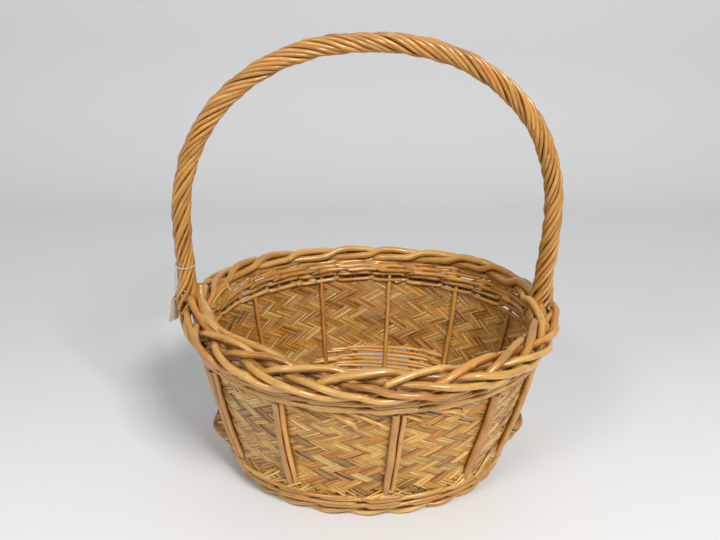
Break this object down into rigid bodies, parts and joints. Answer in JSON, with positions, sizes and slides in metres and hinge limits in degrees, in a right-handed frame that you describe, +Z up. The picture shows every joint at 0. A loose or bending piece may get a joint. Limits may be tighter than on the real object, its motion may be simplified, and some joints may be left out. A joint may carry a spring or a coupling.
{
  "type": "woven market basket",
  "caption": "Oval market basket of willow stakes and bamboo twill matting, with a plaited border, a roped foot and a fixed arched handle wrapped in twisted rods.",
  "frame": {"origin": "on the floor, under the middle of the overall box; the bow handle's arch is centred on X 0", "axes": "+Z up out of the basket's mouth, X along the oval's length and the handle's span, -Y towards the basket's front"},
  "size_m": [0.4107, 0.3506, 0.474],
  "materials": {
    "thick_willow": "golden brown varnished willow rod, glossy",
    "thin_willow": "golden brown varnished thin willow rod, glossy",
    "split_bamboo": "honey coloured split bamboo matting, satin varnish",
    "thread": "white cotton thread, matte",
    "card": "blank grey card, matte"
  },
  "bodies": {
    "basket": {"bamboo_mat": "split_bamboo", "base_cross_stick_1": "thick_willow", "base_cross_stick_2": "thick_willow", "base_cross_stick_3": "thick_willow", "base_cross_stick_4": "thick_willow", "base_long_stick_1": "thick_willow", "base_long_stick_2": "thick_willow", "base_long_stick_3": "thick_willow", "base_mat": "split_bamboo", "border_strand_1": "thick_willow", "border_strand_2": "thick_willow", "border_strand_3": "thick_willow", "foot_strand_1": "thick_willow", "foot_strand_2": "thick_willow", "handle_bow": "thick_willow", "handle_wrap_1": "thin_willow", "handle_wrap_2": "thin_willow", "handle_wrap_3": "thin_willow", "handle_wrap_4": "thin_willow", "handle_wrap_5": "thin_willow", "inner_stake_01": "thin_willow", "inner_stake_02": "thin_willow", "inner_stake_03": "thin_willow", "inner_stake_04": "thin_willow", "inner_stake_05": "thin_willow", "inner_stake_06": "thin_willow", "inner_stake_07": "thin_willow", "inner_stake_08": "thin_willow", "inner_stake_09": "thin_willow", "inner_stake_10": "thin_willow", "inner_stake_11": "thin_willow", "inner_stake_12": "thin_willow", "lower_pairing_1": "thin_willow", "lower_pairing_2": "thin_willow", "lower_pairing_3": "thin_willow", "lower_pairing_4": "thin_willow", "outer_stake_01": "thick_willow", "outer_stake_02": "thick_willow", "outer_stake_03": "thick_willow", "outer_stake_04": "thick_willow", "outer_stake_05": "thick_willow", "outer_stake_06": "thick_willow", "outer_stake_07": "thick_willow", "outer_stake_08": "thick_willow", "outer_stake_09": "thick_willow", "outer_stake_10": "thick_willow", "tag_tie": "thread", "upper_pairing_1": "thin_willow", "upper_pairing_2": "thin_willow", "upper_pairing_3": "thin_willow", "upper_pairing_4": "thin_willow"},
    "tag": {"swing_tag": "card", "tag_loop": "thread"}
  },
  "joints": [
    {"name": "tag_swing", "type": "hinge", "parent": "basket", "child": "tag", "pos_m": [-0.20021, 0.00505, 0.23601], "axis": [0.5003, 0.8659, 0], "range_deg": [0, 75]}
  ]
}
